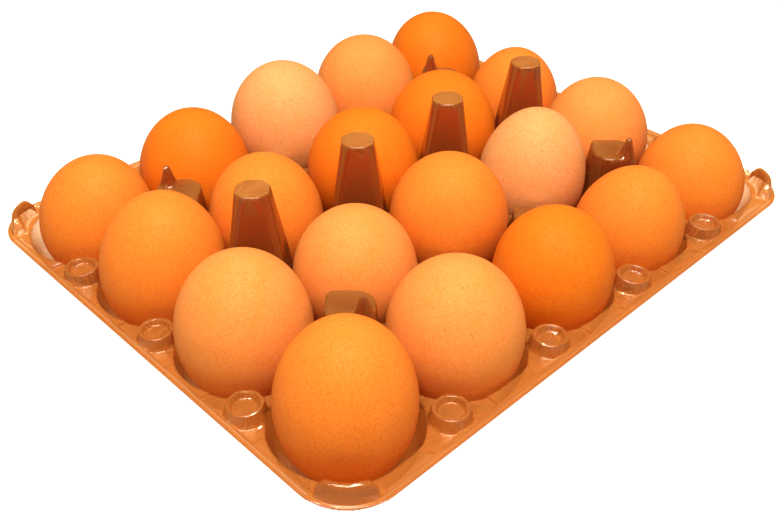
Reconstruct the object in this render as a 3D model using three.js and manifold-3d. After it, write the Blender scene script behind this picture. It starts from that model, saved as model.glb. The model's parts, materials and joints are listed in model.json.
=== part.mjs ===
// Open clear plastic tray with twenty cups, five by four, and a hen's egg standing in each cup.
// Millimetres. +X runs along the five-cup side, +Y along the four-cup side and +Z is up.
// The origin is the middle of the plane that the undersides of the cups rest on.

import * as THREE from "three";
import { mergeVertices } from "three/addons/utils/BufferGeometryUtils.js";
import Module from "manifold-3d";

const wasm = await Module();
wasm.setup();

// The lattice of cups: columns a to e along X, rows 1 to 4 along Y.
const PITCH = 48.5;
const COLUMNS = ["a", "b", "c", "d", "e"];
const ROWS = [1, 2, 3, 4];

// The formed sheet and its flange.
const WALL = 0.6;
const FLANGE_TOP = 22;
const TRAY_LENGTH = 252;
const TRAY_WIDTH = 208;
const CORNER_RADIUS = 20;
const CORNER_STEPS = 5;

// A cup's upper face, as radius and height. The last stretch, above the flange, hollows the posts.
const CUP_SIDES = 16;
const CUP_PROFILE = [
  [0, WALL],
  [11.5, WALL],
  [21, 10.5],
  [25.3, FLANGE_TOP],
  [25.3, 36],
];

// The cups along the long sides end in a straight wall under a ledge of the flange.
const LEDGE_INNER_EDGE = 96.4;

// Shallow platforms in the flange between the edge cups, each around a button.
const PLATFORM_DROP = 1.5;
const PLATFORM_LENGTH = 29;
const PLATFORM_CORNER_TRIM = 3;
const RIM_STRIP_LONG_SIDE = 3.8;
const RIM_STRIP_SHORT_SIDE = 3;
const PLATFORM_DEPTH = 30;

// Round buttons with a dimple, which keep a stacked tray off the flange.
const BUTTON_SIDES = 10;
const BUTTON_RISE = 3;
const BUTTON_BASE_RADIUS = 6.7;
const BUTTON_TOP_RADIUS = 5.5;
const DIMPLE_MOUTH_RADIUS = 4.7;
const DIMPLE_FLOOR_RADIUS = 3.5;
const DIMPLE_DEPTH = 2;
const BUTTON_INSET_LONG_SIDE = 10.25;
const BUTTON_INSET_SHORT_SIDE = 9.3;

// Curved ribs that stand up on the four corners, about an axis set in from both edges.
const TAB_SIDES = 28;
const TAB_INSET = 17.5;
const TAB_RISE = 6;
const TAB_HALF_ANGLE = 37;
const TAB_BASE_RADII = [10.5, 15.3];
const TAB_TOP_RADII = [11.8, 13.8];

// Hollow posts on the twelve places where four cups meet: a square frustum whose broad faces look
// at the eggs, with its corners cut back by a second frustum. Sizes are half widths at the top,
// and a draft is how much a half width grows for each millimetre down.
const TALL_POST = { top: 61, broad: 6, sideX: 6.2, sideY: 6.2, draft: 0.137, sideDraft: 0.23 };
const LOW_POST = { top: 27.5, broad: 8.5, sideX: 9, sideY: 11, draft: 0.137, sideDraft: 0.137 };
const PIN_POST = { top: 38.5, broad: 8.3, sideX: 9, sideY: 11, draft: 0.12, sideDraft: 0.12 };
const POST_FOOT = 14;

// The pin on an outer post, nearer the long side.
const PIN_OUTWARD = 6.5;
const PIN_SIDES = 10;
const PIN_PROFILE = [
  [0, -0.5],
  [4.2, -0.5],
  [3.4, 1],
  [2.8, 3.6],
  [1.9, 6.6],
  [0.9, 7.9],
  [0, 7.9],
];

// How far a cutting shape runs past the sheet, and the clearance under each egg.
const OVERCUT = 3;
const EGG_CLEARANCE = 0.3;
const MERGE_DISTANCE = 1e-4;

// Each egg: widest diameter, length, how pointed its upper end is, how many degrees it leans
// towards +X and +Y, and how far it stands off its cup's middle.
const EGGS = {
  a1: { wide: 44.5, tall: 57.5, point: 0.02, lean: [2, 0], shift: [0, 0], tone: "medium" },
  a2: { wide: 46, tall: 56, point: 0.01, lean: [0, 0], shift: [-0.5, 0.5], tone: "light" },
  a3: { wide: 45, tall: 56, point: 0.03, lean: [6, -2], shift: [0, 0], tone: "medium" },
  a4: { wide: 43.5, tall: 50.5, point: 0.04, lean: [11, -3], shift: [1, -1], tone: "medium" },
  b1: { wide: 46.5, tall: 54.5, point: 0, lean: [0, -1], shift: [0, 0], tone: "light" },
  b2: { wide: 45, tall: 51, point: 0.01, lean: [1, -2], shift: [0, 0], tone: "light" },
  b3: { wide: 44, tall: 52.5, point: 0.02, lean: [-3, 1], shift: [-1.5, 0.5], tone: "medium" },
  b4: { wide: 45.5, tall: 53, point: 0.03, lean: [2, -1], shift: [-1, 0], tone: "dark" },
  c1: { wide: 43.5, tall: 52.5, point: -0.01, lean: [1, -4], shift: [0.5, -2], tone: "dark" },
  c2: { wide: 46, tall: 53, point: 0, lean: [0, -1], shift: [0, -0.5], tone: "medium" },
  c3: { wide: 46, tall: 53.5, point: -0.02, lean: [1, -2], shift: [0, -0.5], tone: "dark" },
  c4: { wide: 48, tall: 58, point: 0, lean: [-3, 2], shift: [-0.5, 0.5], tone: "pale" },
  d1: { wide: 42, tall: 50, point: 0.06, lean: [4, -12], shift: [0, -2], tone: "medium" },
  d2: { wide: 44, tall: 55.5, point: 0.07, lean: [2, -4], shift: [0.5, -2], tone: "pale" },
  d3: { wide: 47, tall: 54, point: -0.01, lean: [-2, 1], shift: [0, 0], tone: "dark" },
  d4: { wide: 47, tall: 55.5, point: -0.01, lean: [-4, 2], shift: [-0.5, 0.5], tone: "light" },
  e1: { wide: 44, tall: 47.5, point: 0.08, lean: [-1, 4], shift: [-0.5, 0.5], tone: "medium" },
  e2: { wide: 46, tall: 51.5, point: 0.04, lean: [-2, 3], shift: [-0.5, 0.5], tone: "light" },
  e3: { wide: 42, tall: 50.5, point: 0.06, lean: [1, -1], shift: [0, -0.5], tone: "medium" },
  e4: { wide: 45.5, tall: 54, point: 0.02, lean: [-9, 6], shift: [-1.5, 1], tone: "dark" },
};
const EGG_SIDES = 14;
const EGG_BANDS = 8;

// Clear amber-tinted plastic and four shades of brown eggshell.
const PLASTIC = new THREE.MeshStandardMaterial({
  color: 0xe8b98a,
  roughness: 0.12,
  metalness: 0,
  transparent: true,
  opacity: 0.4,
});
const SHELL_COLOURS = { pale: 0xf3bd8b, light: 0xf0ab6c, medium: 0xe99852, dark: 0xdd8440 };
const SHELLS = {};
for (const [tone, color] of Object.entries(SHELL_COLOURS)) {
  SHELLS[tone] = new THREE.MeshStandardMaterial({ color, roughness: 0.55, metalness: 0 });
}

// Where a column's or row's middle lies, and the lines halfway between neighbours.
const columnX = (index) => (index - (COLUMNS.length - 1) / 2) * PITCH;
const rowY = (index) => (index - (ROWS.length - 1) / 2) * PITCH;
const betweenColumns = COLUMNS.slice(1).map((_, index) => columnX(index) + PITCH / 2);
const betweenRows = ROWS.slice(1).map((_, index) => rowY(index) + PITCH / 2);

// One closed mesh with shared vertices and no empty triangles.
function closed(geometry) {
  const bare = geometry.clone();
  bare.deleteAttribute("normal");
  bare.deleteAttribute("uv");
  const merged = mergeVertices(bare, MERGE_DISTANCE);
  const corners = merged.index.array;
  const kept = [];
  for (let i = 0; i < corners.length; i += 3) {
    const [p, q, r] = corners.slice(i, i + 3);
    if (p !== q && q !== r && r !== p) {
      kept.push(p, q, r);
    }
  }
  merged.setIndex(kept);
  return merged;
}

function toSolid(geometry) {
  const mesh = closed(geometry);
  const vertProperties = new Float32Array(mesh.attributes.position.array);
  const triVerts = new Uint32Array(mesh.index.array);
  return new wasm.Manifold(new wasm.Mesh({ numProp: 3, vertProperties, triVerts }));
}

function toGeometry(solid) {
  const { vertProperties, triVerts } = solid.getMesh();
  const geometry = new THREE.BufferGeometry();
  geometry.setAttribute("position", new THREE.BufferAttribute(vertProperties, 3));
  geometry.setIndex(new THREE.BufferAttribute(triVerts, 1));
  geometry.computeVertexNormals();
  return geometry;
}

const joined = (solids) => solids.reduce((whole, solid) => whole.add(solid));

// A profile of [radius, height] pairs, from the axis and back to it, turned about Z.
function turned(profile, sides) {
  const points = profile.map(([radius, height]) => new THREE.Vector2(radius, height));
  return new THREE.LatheGeometry(points, sides).rotateX(Math.PI / 2);
}

// The same profile moved outwards by a distance, each corner on the meeting of its two sides.
function grown(profile, distance) {
  const normals = profile.slice(1).map(([radius, height], index) => {
    const along = new THREE.Vector2(radius - profile[index][0], height - profile[index][1]);
    along.normalize();
    return new THREE.Vector2(along.y, -along.x);
  });
  return profile.map(([radius, height], index) => {
    const before = normals[Math.max(index - 1, 0)];
    const after = normals[Math.min(index, normals.length - 1)];
    const reach = distance / (1 + before.dot(after));
    return [radius + reach * (before.x + after.x), height + reach * (before.y + after.y)];
  });
}

// A square frustum about the Z axis. With its turn at zero its faces look along the diagonals.
function frustum(halfTop, halfFoot, foot, top, turn) {
  const shape = new THREE.CylinderGeometry(
    halfTop * Math.SQRT2,
    halfFoot * Math.SQRT2,
    top - foot,
    4,
  );
  return shape.rotateX(Math.PI / 2).rotateZ(turn).translate(0, 0, (top + foot) / 2);
}

// The flange's outline with rounded corners, pushed out by a margin, as a slab.
function slab(margin, bottom, top) {
  const x = TRAY_LENGTH / 2 + margin;
  const y = TRAY_WIDTH / 2 + margin;
  const radius = CORNER_RADIUS + margin;
  const outline = new THREE.Shape();
  outline.moveTo(x, radius - y);
  outline.absarc(x - radius, y - radius, radius, 0, Math.PI / 2);
  outline.absarc(radius - x, y - radius, radius, Math.PI / 2, Math.PI);
  outline.absarc(radius - x, radius - y, radius, Math.PI, 1.5 * Math.PI);
  outline.absarc(x - radius, radius - y, radius, 1.5 * Math.PI, 2 * Math.PI);
  const settings = { depth: top - bottom, bevelEnabled: false, curveSegments: CORNER_STEPS };
  return toSolid(new THREE.ExtrudeGeometry(outline, settings).translate(0, 0, bottom));
}

// The room for the eggs. A skin above zero gives the cups' undersides instead of their upper faces.
function cups(skin) {
  const shape = turned([...grown(CUP_PROFILE, skin), [0, CUP_PROFILE.at(-1)[1]]], CUP_SIDES);
  const one = toSolid(shape.rotateZ(Math.PI / CUP_SIDES));
  const all = [];
  COLUMNS.forEach((_, column) => {
    ROWS.forEach((__, row) => all.push(one.translate([columnX(column), rowY(row), 0])));
  });
  const height = 2 * CUP_PROFILE.at(-1)[1];
  const inner = new THREE.BoxGeometry(TRAY_LENGTH, 2 * (LEDGE_INNER_EDGE + skin), height);
  return joined(all).intersect(toSolid(inner));
}

// Pockets that lower the flange to the platforms.
function platforms(skin) {
  const floor = FLANGE_TOP - PLATFORM_DROP - skin;
  const half = PLATFORM_LENGTH / 2 + skin;
  const pocket = (low, high) => {
    const size = high.map((value, axis) => value - low[axis]);
    const middle = high.map((value, axis) => (value + low[axis]) / 2);
    return toSolid(new THREE.BoxGeometry(...size).translate(...middle));
  };
  const all = [];
  for (const side of [-1, 1]) {
    const outerY = TRAY_WIDTH / 2 - RIM_STRIP_LONG_SIDE + skin;
    const outerX = TRAY_LENGTH / 2 - RIM_STRIP_SHORT_SIDE + skin;
    const innerY = outerY - PLATFORM_DEPTH;
    const innerX = outerX - PLATFORM_DEPTH;
    const [lowY, highY] = side < 0 ? [-outerY, -innerY] : [innerY, outerY];
    const [lowX, highX] = side < 0 ? [-outerX, -innerX] : [innerX, outerX];
    for (const x of betweenColumns) {
      all.push(pocket([x - half, lowY, floor], [x + half, highY, FLANGE_TOP + OVERCUT]));
    }
    for (const y of betweenRows) {
      const towardsCorner = Math.sign(y) * PLATFORM_CORNER_TRIM;
      const low = y - half + Math.max(-towardsCorner, 0);
      const high = y + half - Math.max(towardsCorner, 0);
      all.push(pocket([lowX, low, floor], [highX, high, FLANGE_TOP + OVERCUT]));
    }
  }
  return joined(all);
}

function buttons(skin) {
  const platform = FLANGE_TOP - PLATFORM_DROP;
  const top = FLANGE_TOP + BUTTON_RISE;
  const foot = platform - OVERCUT;
  const dimpleFloor = top - DIMPLE_DEPTH;
  const slope = (BUTTON_BASE_RADIUS - BUTTON_TOP_RADIUS) / (top - platform);
  const radiusAt = (height) => BUTTON_TOP_RADIUS + slope * (top - height) - skin;
  const ringed = [
    [0, foot],
    [BUTTON_BASE_RADIUS, foot],
    [BUTTON_BASE_RADIUS, platform],
    [BUTTON_TOP_RADIUS, top],
    [DIMPLE_MOUTH_RADIUS, top],
    [DIMPLE_FLOOR_RADIUS, dimpleFloor],
    [0, dimpleFloor],
  ];
  const plain = [
    [0, foot],
    [radiusAt(platform), foot],
    [radiusAt(platform), platform],
    [radiusAt(dimpleFloor - skin), dimpleFloor - skin],
    [0, dimpleFloor - skin],
  ];
  const one = toSolid(turned(skin > 0 ? plain : ringed, BUTTON_SIDES));
  const all = [];
  for (const side of [-1, 1]) {
    const y = side * (TRAY_WIDTH / 2 - BUTTON_INSET_LONG_SIDE);
    const x = side * (TRAY_LENGTH / 2 - BUTTON_INSET_SHORT_SIDE);
    betweenColumns.forEach((along) => all.push(one.translate([along, y, 0])));
    betweenRows.forEach((along) => all.push(one.translate([x, along, 0])));
  }
  return joined(all);
}

function cornerTabs(skin) {
  const top = FLANGE_TOP + TAB_RISE - skin;
  const foot = FLANGE_TOP - WALL / 2 - skin;
  const ring = toSolid(turned([
    [TAB_BASE_RADII[0] + skin, foot],
    [TAB_BASE_RADII[1] - skin, foot],
    [TAB_TOP_RADII[1] - skin, top],
    [TAB_TOP_RADII[0] + skin, top],
    [TAB_BASE_RADII[0] + skin, foot],
  ], TAB_SIDES));
  const all = [];
  for (const [sideX, sideY] of [[1, 1], [-1, 1], [-1, -1], [1, -1]]) {
    const middle = Math.atan2(sideY, sideX);
    const half = THREE.MathUtils.degToRad(TAB_HALF_ANGLE) - skin / TAB_TOP_RADII[0];
    const reach = 2 * TAB_BASE_RADII[1];
    const sector = new THREE.Shape([
      new THREE.Vector2(0, 0),
      new THREE.Vector2(reach * Math.cos(middle - half), reach * Math.sin(middle - half)),
      new THREE.Vector2(reach * Math.cos(middle + half), reach * Math.sin(middle + half)),
    ]);
    const settings = { depth: TAB_RISE + 2 * OVERCUT, bevelEnabled: false };
    const wedge = new THREE.ExtrudeGeometry(sector, settings);
    const tab = ring.intersect(toSolid(wedge.translate(0, 0, FLANGE_TOP - OVERCUT)));
    const x = sideX * (TRAY_LENGTH / 2 - TAB_INSET);
    const y = sideY * (TRAY_WIDTH / 2 - TAB_INSET);
    all.push(tab.translate([x, y, 0]));
  }
  return joined(all);
}

// One post at a meeting of four cups, shrunk by the skin for its hollow inside.
function post(kind, skin) {
  const top = kind.top - skin;
  const height = top - POST_FOOT;
  const broad = kind.broad - skin;
  const body = toSolid(frustum(broad, broad + kind.draft * height, POST_FOOT, top, 0));
  const side = Math.max(kind.sideX, kind.sideY) - skin;
  const trim = frustum(side, side + kind.sideDraft * height, POST_FOOT, top, Math.PI / 4);
  trim.scale((kind.sideX - skin) / side, (kind.sideY - skin) / side, 1);
  return body.intersect(toSolid(trim));
}

function posts(skin) {
  const all = [];
  for (const x of betweenColumns) {
    const outerColumn = Math.abs(x) > PITCH;
    for (const y of betweenRows) {
      const outerRow = Math.abs(y) > PITCH / 2;
      const kind = outerRow ? (outerColumn ? PIN_POST : LOW_POST) : TALL_POST;
      all.push(post(kind, skin).translate([x, y, 0]));
      if (kind === PIN_POST && skin === 0) {
        const pin = toSolid(turned(PIN_PROFILE, PIN_SIDES));
        all.push(pin.translate([x, y + Math.sign(y) * PIN_OUTWARD, kind.top]));
      }
    }
  }
  return joined(all);
}

// The sheet: everything under its upper face, less everything under its lower face.
function tray() {
  const upper = slab(0, 0, FLANGE_TOP)
    .subtract(platforms(0))
    .add(posts(0))
    .add(buttons(0))
    .add(cornerTabs(0))
    .subtract(cups(0));
  const lower = slab(OVERCUT, -OVERCUT, FLANGE_TOP - WALL)
    .subtract(platforms(WALL))
    .add(posts(WALL))
    .add(buttons(WALL))
    .add(cornerTabs(WALL))
    .subtract(cups(WALL));
  const mesh = new THREE.Mesh(toGeometry(upper.subtract(lower)), PLASTIC);
  mesh.name = "tray";
  return mesh;
}

// An ellipse of revolution, swollen below its middle where the upper end is the pointed one.
function egg(place, { wide, tall, point, lean, shift, tone }) {
  const profile = [];
  for (let band = 0; band <= EGG_BANDS; band += 1) {
    const turn = Math.PI * (1 - band / EGG_BANDS);
    const radius = (wide / 2) * Math.sin(turn) * (1 - point * Math.cos(turn));
    const onAxis = band === 0 || band === EGG_BANDS;
    profile.push([onAxis ? 0 : radius, (tall / 2) * Math.cos(turn)]);
  }
  const mesh = new THREE.Mesh(closed(turned(profile, EGG_SIDES)), SHELLS[tone]);
  mesh.name = `egg_${place}`;
  const angle = THREE.MathUtils.degToRad(Math.hypot(...lean));
  if (angle > 0) {
    mesh.quaternion.setFromAxisAngle(new THREE.Vector3(-lean[1], lean[0], 0).normalize(), angle);
  }
  const x = columnX(COLUMNS.indexOf(place[0])) + shift[0];
  const y = rowY(ROWS.indexOf(Number(place[1]))) + shift[1];
  mesh.updateMatrixWorld();
  const lowest = new THREE.Box3().setFromObject(mesh, true).min.z;
  mesh.position.set(x, y, WALL + EGG_CLEARANCE - lowest);
  return mesh;
}

const carton = new THREE.Group();
carton.add(tray());
for (const [place, form] of Object.entries(EGGS)) {
  carton.add(egg(place, form));
}

export default carton;
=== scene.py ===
"""Twenty brown hen's eggs standing in an open tray of thin clear plastic.

The tray is one formed sheet: a field of distances describes its upper skin, the zero surface of that
field is meshed for one quarter, mirrored and given the sheet's thickness. Each egg is a Geometry Nodes
shape that takes its size, place and lean from the frame's own egg. Lengths in the tray's functions are
millimetres, and everything in Blender is in metres.
"""

import json
import math

import bpy
import numpy as np
from bpy.props import FloatProperty, FloatVectorProperty, IntProperty, PointerProperty
from bpy.types import Operator, Panel, PropertyGroup
from mathutils import Matrix, Vector


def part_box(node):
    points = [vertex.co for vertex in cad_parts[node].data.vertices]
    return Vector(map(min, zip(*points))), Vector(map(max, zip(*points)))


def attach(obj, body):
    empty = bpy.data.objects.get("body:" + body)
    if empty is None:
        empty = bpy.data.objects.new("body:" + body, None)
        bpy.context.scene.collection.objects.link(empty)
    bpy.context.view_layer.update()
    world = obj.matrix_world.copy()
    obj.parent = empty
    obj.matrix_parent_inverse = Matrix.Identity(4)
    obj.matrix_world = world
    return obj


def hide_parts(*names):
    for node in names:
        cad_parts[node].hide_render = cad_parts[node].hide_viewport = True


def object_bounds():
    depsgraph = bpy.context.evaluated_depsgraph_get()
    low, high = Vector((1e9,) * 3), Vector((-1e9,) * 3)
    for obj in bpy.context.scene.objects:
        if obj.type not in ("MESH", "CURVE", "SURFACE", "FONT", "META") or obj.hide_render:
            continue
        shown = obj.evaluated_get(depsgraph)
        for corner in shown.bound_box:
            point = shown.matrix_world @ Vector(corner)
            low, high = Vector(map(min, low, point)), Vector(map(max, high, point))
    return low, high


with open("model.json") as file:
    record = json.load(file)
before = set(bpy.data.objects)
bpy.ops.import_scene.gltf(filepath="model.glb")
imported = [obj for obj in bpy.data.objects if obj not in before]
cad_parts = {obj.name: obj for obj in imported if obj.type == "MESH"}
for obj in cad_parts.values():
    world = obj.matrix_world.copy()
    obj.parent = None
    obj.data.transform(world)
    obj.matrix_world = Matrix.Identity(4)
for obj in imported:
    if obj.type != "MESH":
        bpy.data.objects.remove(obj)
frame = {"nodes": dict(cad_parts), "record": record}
CAD_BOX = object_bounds()

bl_info = {
    "name": "Egg tray",
    "version": (1, 0, 0),
    "blender": (4, 5, 0),
    "location": "3D View > Sidebar > Egg tray",
    "description": "An open clear plastic tray filled with twenty brown eggs",
    "category": "Object",
}

MM = 0.001

# The lattice of cups, in millimetres: five along X and four along Y, with posts where four cups meet.
PITCH = 48.5
OUTER_COLUMN = 2 * PITCH
OUTER_ROW = 1.5 * PITCH

# A cup's wall as radius and height, from the edge of its flat bottom to the straight stretch that
# hollows the posts, the roundness of the bends at these three, the roundness of the ridges between two
# cups, and the line where the cups along the long sides end in a straight wall.
CUP_FLOOR_EDGE = (11.5, 0.45)
CUP_SHOULDER = (21.3, 10.5)
CUP_RIM = (25.3, 22.0)
CUP_ROUNDS = (5.0, 1.5, 1.0)
RIDGE_ROUND = 0.9
LEDGE = 96.4
LEDGE_ROUND = 1.0

# Posts: height of the top, half width across the faces that look at the eggs, half widths along X and
# Y, growth per millimetre down of both, and the roundness of the upright edges and of the top's edge.
TALL_POST = (61.0, 6.0, 6.2, 6.2, 0.137, 0.23, 0.7, 0.6)
LOW_POST = (27.5, 8.5, 9.0, 11.0, 0.137, 0.137, 1.8, 0.9)
PIN_POST = (38.5, 8.3, 9.0, 11.0, 0.12, 0.12, 1.8, 0.9)
POST_FOOT_ROUND = 1.5

# The pin on an outer post. Its lean is how much shorter the way to its flared side is than the level
# way, and its foot's rounds are those of its lower edge and of the corner with the post.
PIN_OUTWARD = 6.5
PIN_HEIGHT = 7.9
PIN_RADIUS = 1.3
PIN_TIP_ROUND = 1.2
PIN_DRAFT = 0.27
PIN_FLARE = 0.6
PIN_FLARE_HEIGHT = 1.1
PIN_LEAN = 0.93
PIN_SUNK = 0.4
PIN_FOOT_ROUNDS = (0.3, 0.5)

# Platforms sunk into the flange between the edge cups, each round a button with a dimple. The strips
# are what they leave of the flange along its edge. A button grows by its draft per millimetre down, and
# a dimple by its own per millimetre up.
PLATFORM_DROP = 1.5
PLATFORM_HALF = 14.5
PLATFORM_CORNER_TRIM = 3.0
PLATFORM_ROUND = 0.4
STRIP_LONG_SIDE = 3.8
STRIP_SHORT_SIDE = 3.0
BUTTON_RISE = 3.0
BUTTON_RADIUS = 5.95
BUTTON_DRAFT = 0.267
BUTTON_TOP_ROUND = 0.35
BUTTON_FOOT_ROUND = 0.5
BUTTON_INSET_LONG_SIDE = 10.25
BUTTON_INSET_SHORT_SIDE = 9.3
DIMPLE_RADIUS = 4.0
DIMPLE_DRAFT = 0.45
DIMPLE_DEPTH = 2.0
DIMPLE_FLOOR_ROUND = 0.5
DIMPLE_MOUTH_ROUND = 0.3

# Curved ribs on the corners: how far in from both edges their middle is, their height, and their radii
# and half angle at the top, with what these grow per millimetre down.
CORNER_RADIUS = 20.0
TAB_INSET = 17.5
TAB_RISE = 6.0
TAB_RADII = (11.8, 13.8)
TAB_DRAFTS = (0.3, 0.25)
TAB_HALF_ANGLE = math.radians(38)
TAB_ANGLE_DRAFT = 0.008
TAB_END_ROUND = 4.0
TAB_EDGE_ROUNDS = (0.5, 0.9)
TAB_FOOT_ROUND = 0.7

# The beads pressed into the rim: distance in from the edge, half width and height above the flange's
# flat. The lip turns down at the edge, and the side of the skin that is nearer to the edge than the
# lip's band is cut off below the lip's depth.
FLANGE_SINK = 0.5
RIM_BEADS = ((0.55, 0.75, 0.5), (2.5, 0.6, 0.35))
RIM_ROUND = 0.35
CUP_MOUTH_ROUND = 0.6
LIP_DEPTH = 0.8
LIP_BAND = 0.6

# The grid that the skin is meshed on has its finest step along the rim, round the flange's height and
# at the tall posts' tops. The wall steps are its spacing in height below the flange and above it, and
# the margin is how far it goes past the sheet. The heights are set so that no level of the grid grazes
# the top of a bead, a button or a post.
FINE_STEP = 0.35
FINE_BAND = 22.0
FINE_LEVELS = (18.22, 29.42)
FINE_TOP = 3.0
WALL_STEPS = (1.2, 1.4)
MARGIN = 1.0

# How far below the highest point, in metres, a level face still is the top of a tall post, over what
# height that fades, and how upright its normal is. The sheet touches the mould there first, so the tops
# keep the most plastic and haze.
TOPS_BELOW = 0.0007
TOPS_FADE = 0.00025
LEVEL = (0.8, 0.95)

# How tightly the sheet bends, per millimetre, where the painted shade of a bend starts to show as a
# dark line and where it is darkest. The lines stand in for the light that a real bend refracts away.
BEND_SHADE_RANGE = (0.35, 1.5)

# How many faces of clear sheet a line of sight may cross, through posts and cups one behind another.
SHEETS_SEEN_THROUGH = 40

# How far inside the rim the sheet turns from nearly clear to amber, a painted reflection of the eggs'
# colour, in metres.
EGG_REFLECTION_FROM = 0.018
EGG_REFLECTION_FULL = 0.032

# How far inside the rim the floor, seen through the sheet, starts to turn to its painted shadow, and
# over what length, in metres.
SHADE_INSET = 0.008
SHADE_FADE = 0.010

# The large soft light, high above the corner that is nearest to the camera, and the point that all
# lights look at, in metres.
SOFT_PLACE = (-0.19, -0.20, 0.90)
SOFT_SIZE = 0.60
LIT_POINT = (0, 0, 0.02)

# Lights for glints: to both sides of the camera and high up behind the tray, where no level face
# mirrors them to the eye.
GLINT_PLACES = {
    "glint_left": (-0.60, 0.05, 0.70),
    "glint_right": (0.05, -0.60, 0.70),
    "glint_back": (0.22, 0.22, 0.85),
}
GLINT_SIZE = 0.07

# Half the side of the square floor, in metres.
FLOOR_HALF = 3.0

# Eggs whose shells show the most speckles, from 0 to 1. The others have a few.
SPECKLES = {"d1": 1.0, "e1": 0.9, "c1": 0.8, "a1": 0.7, "d2": 0.6, "a4": 0.55, "b3": 0.5}
FEW_SPECKLES = 0.3

# An egg's mesh, how many swellings fit along its radius, and what sets one egg's swellings apart from
# the next one's.
EGG_SIDES = 80
EGG_RINGS = 52
LUMPS_PER_RADIUS = 1.1
SEED_STEP = 3.7

# Shares of red, green and blue that a shell keeps in a cloud of pigment and under a grain of dust, and
# the painted shade at its foot: darker and deeper orange towards the bottom, as where the light comes
# through the sheet and from the next eggs.
CLOUD_SHARES = (0.96, 0.88, 0.78)
DUST_SHARES = (0.94, 0.83, 0.66)
FOOT_PAINTED_SHADE = (0.72, 0.36, 0.0)

# Where the painted shade at the foot starts and where it is full, along an egg from 1 at its top to -1.
FOOT_SHADE_RANGE = (0.45, -0.35)

# Noise and spot distances between which a cloud, a grain of dust and a spot's edge fade.
CLOUD_RANGE = (0.3, 0.7)
DUST_RANGE = (0.4, 0.6)
SPOT_RANGE = (0.10, 0.30)

# How much the dust and a spot cover, and how far the roughness wanders.
DUST_COVER = 0.8
SPOT_COVER = 0.55
ROUGHNESS_WANDER = 0.06


def linear(code):
    """An sRGB hex colour as linear red, green and blue."""
    parts = [int(code[i : i + 2], 16) / 255 for i in (0, 2, 4)]
    return tuple(c / 12.92 if c <= 0.04045 else ((c + 0.055) / 1.055) ** 2.4 for c in parts)


def length(name, text, default):
    return FloatProperty(name=name, description=text, default=default, min=0, unit="LENGTH", precision=5)


def colour(name, text, code):
    return FloatVectorProperty(
        name=name, description=text, default=linear(code), subtype="COLOR", size=3, min=0, max=1
    )


def share(name, text, default):
    return FloatProperty(name=name, description=text, default=default, min=0, max=1, subtype="FACTOR")


class EggTraySheet(PropertyGroup):
    """The formed sheet's sizes and colours."""

    thickness: length("Thickness", "Thickness of the plastic sheet", 0.00045)
    flange: length("Flange height", "Height of the flange above the table", 0.022)
    mesh_step: length("Mesh step", "Spacing of the grid that the skin is meshed on", 0.00048)
    faces: IntProperty(
        name="Faces", description="Triangles of one quarter's skin", default=23500, min=2000
    )
    tint: colour("Tint", "Light that one face of the sheet lets through, seen square on", "F8EAD8")
    # Painted reflection of the eggs' colour: the amber tints of the sheet between the eggs, square on and
    # edge-on.
    inner_tint: colour("Inner tint", "The same between the eggs, whose colour it carries", "E4B07A")
    edge_tint: colour("Edge tint", "Light let through where the sheet is seen edge-on", "D8A468")
    inner_edge_tint: colour("Inner edge tint", "The same between the eggs", "AC5C24")
    # Painted shade at tight bends: how much of the edge's darker tint they take.
    bend_share: share("Bend share", "How much of the edge's tint and haze a tight bend takes", 0.85)
    haze: colour("Haze", "Colour of the faint haze in the sheet", "F0A24C")
    through_share: share("Through share", "How much of the haze's light goes through the sheet", 0.4)
    gloss: colour("Gloss", "Colour of what the sheet mirrors", "FFEBD2")
    haze_share: share("Haze share", "How much of the light the haze scatters", 0.12)
    edge_haze_share: share("Edge haze share", "The same where the sheet is seen edge-on", 0.40)
    top_haze_share: share("Top haze share", "More of it on the tall posts' tops", 0.20)
    edge_falloff: FloatProperty(
        name="Edge falloff", description="How narrow the darker edges are", default=2.0, min=0.5, max=8
    )
    mirror_ior: FloatProperty(
        name="Mirror", description="Refractive index that sets how much it mirrors", default=1.5, min=1
    )
    roughness: share("Roughness", "Roughness of the sheet's gloss", 0.05)
    wave_size: length("Wave size", "Size of the slow waves in the sheet", 0.009)
    wave_height: length("Wave height", "Height of the waves", 0.0004)
    wave_strength: share("Wave strength", "How much the waves turn what the sheet mirrors", 0.35)


class EggTrayShells(PropertyGroup):
    """The eggshells' colours and surface."""

    pale: colour("Pale shell", "Shell colour of the palest eggs", "FFC48E")
    light: colour("Light shell", "Shell colour of the light brown eggs", "FFB068")
    medium: colour("Medium shell", "Shell colour of the mid brown eggs", "FF9F46")
    dark: colour("Dark shell", "Shell colour of the deep brown eggs", "F8902A")
    speckle: colour("Speckle", "Colour of the fine spots on the shells", "C8641E")
    pore_spacing: length("Pore spacing", "Distance between the pits in a shell", 0.0009)
    speckle_spacing: length("Speckle spacing", "Distance between places that can hold a spot", 0.0013)
    blotch_size: length("Blotch size", "Size of the soft clouds of colour", 0.011)
    grain: length("Grain", "Size of the chalky grain", 0.0008)
    relief: length("Relief", "Depth of the grain and the pits", 0.00006)
    relief_strength: share("Relief strength", "How much the relief turns the light", 0.5)
    unevenness: length("Unevenness", "How far a shell swells off the ideal form", 0.00018)
    roughness: share("Roughness", "Roughness of the shells", 0.52)
    gloss_level: share("Gloss level", "How much the shells mirror. 0.5 is what their IOR gives", 0.12)
    gloss_tint: colour("Gloss tint", "Colour of what the shells mirror", "FFD8A0")
    glow: share("Glow", "How much of the light passes under the skin", 0.08)
    glow_depth: length("Glow depth", "How far red light passes under the skin", 0.002)


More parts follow.
